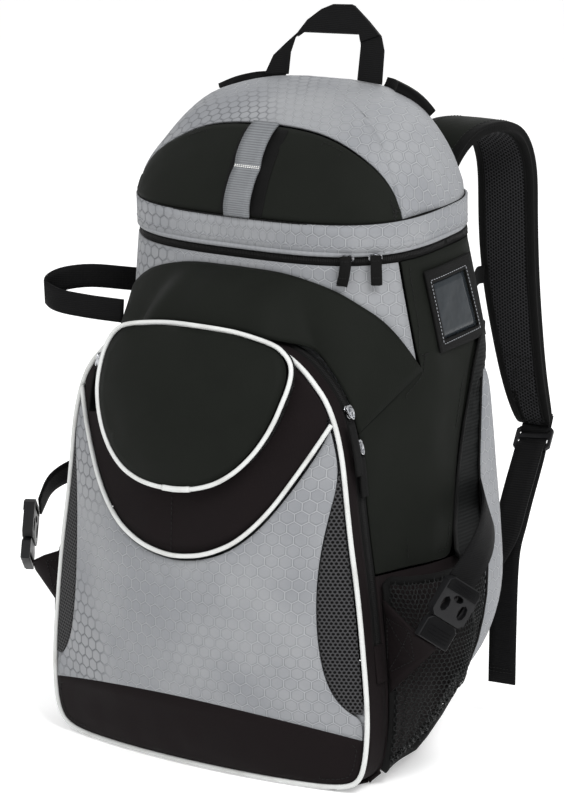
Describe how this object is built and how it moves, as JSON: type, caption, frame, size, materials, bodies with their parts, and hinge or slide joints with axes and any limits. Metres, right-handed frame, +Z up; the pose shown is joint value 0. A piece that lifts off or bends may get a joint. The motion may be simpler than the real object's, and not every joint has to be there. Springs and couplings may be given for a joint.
{
  "type": "lacrosse backpack",
  "caption": "Tall ripstop backpack with a domed zipped lid, a piped front pocket with a shield pocket on it, buckled mesh side pockets, a grab handle and padded shoulder straps.",
  "frame": {"origin": "on the floor under the bag's body, in the middle of its width", "axes": "+Z up, -Y toward the front pocket, +X toward the side with the name window"},
  "size_m": [0.4588, 0.3823, 0.6092],
  "materials": {
    "grey_ripstop": "hexagon ripstop weave",
    "black_cloth": "smooth cloth with a soft sheen",
    "brown_black_cloth": "matte pack cloth",
    "mesh": "open knitted mesh",
    "webbing": "woven webbing",
    "grey_webbing": "woven webbing",
    "piping": "smooth off-white",
    "black_plastic": "moulded satin",
    "zip_metal": "plated",
    "clear_vinyl": "clear glossy sheet"
  },
  "bodies": {
    "root": {"body_front_wall": "grey_ripstop", "side_panel_right": "black_cloth", "side_panel_left": "black_cloth", "lower_shell": "brown_black_cloth", "rear_gusset_right": "grey_ripstop", "rear_gusset_left": "grey_ripstop", "back_panel": "black_cloth", "base_panel": "brown_black_cloth", "lid_hood": "grey_ripstop", "lid_visor": "black_cloth", "lid_band": "grey_ripstop", "top_zip_tape": "webbing", "daisy_webbing": "grey_webbing", "front_panel": "grey_ripstop", "front_base_band": "brown_black_cloth", "front_yoke": "brown_black_cloth", "mesh_crescent_right": "mesh", "mesh_crescent_left": "mesh", "front_piping": "piping", "yoke_piping": "piping", "front_gusset": "brown_black_cloth", "front_zip_tape": "webbing", "front_hood": "black_cloth", "shield_face": "black_cloth", "shield_zip_gusset": "webbing", "shield_piping": "piping", "name_window_frame": "black_cloth", "name_window": "clear_vinyl", "side_mesh_pocket_right": "mesh", "side_mesh_pocket_left": "mesh", "buckle_socket_right": "black_plastic", "buckle_socket_left": "black_plastic", "buckle_plug_right": "black_plastic", "buckle_plug_left": "black_plastic", "side_wing_right": "brown_black_cloth", "side_wing_left": "brown_black_cloth", "side_strap_right": "webbing", "side_strap_left": "webbing", "stick_loop": "webbing", "grab_handle": "webbing", "shoulder_strap_right": "black_cloth", "shoulder_strap_left": "black_cloth", "strap_tab_right": "webbing", "strap_tab_left": "webbing", "ladder_lock_right": "black_plastic", "ladder_lock_left": "black_plastic", "lower_webbing_right": "webbing", "lower_webbing_left": "webbing", "strap_stabiliser_right": "webbing", "strap_stabiliser_left": "webbing", "top_zip_slider_a": "zip_metal", "top_zip_slider_b": "zip_metal", "top_zip_pull_a": "webbing", "top_zip_pull_b": "webbing", "front_zip_slider_a": "zip_metal", "front_zip_slider_b": "zip_metal", "front_zip_pull_a": "webbing", "front_zip_pull_b": "webbing", "shield_zip_slider": "zip_metal", "shield_zip_pull": "webbing"}
  },
  "joints": []
}
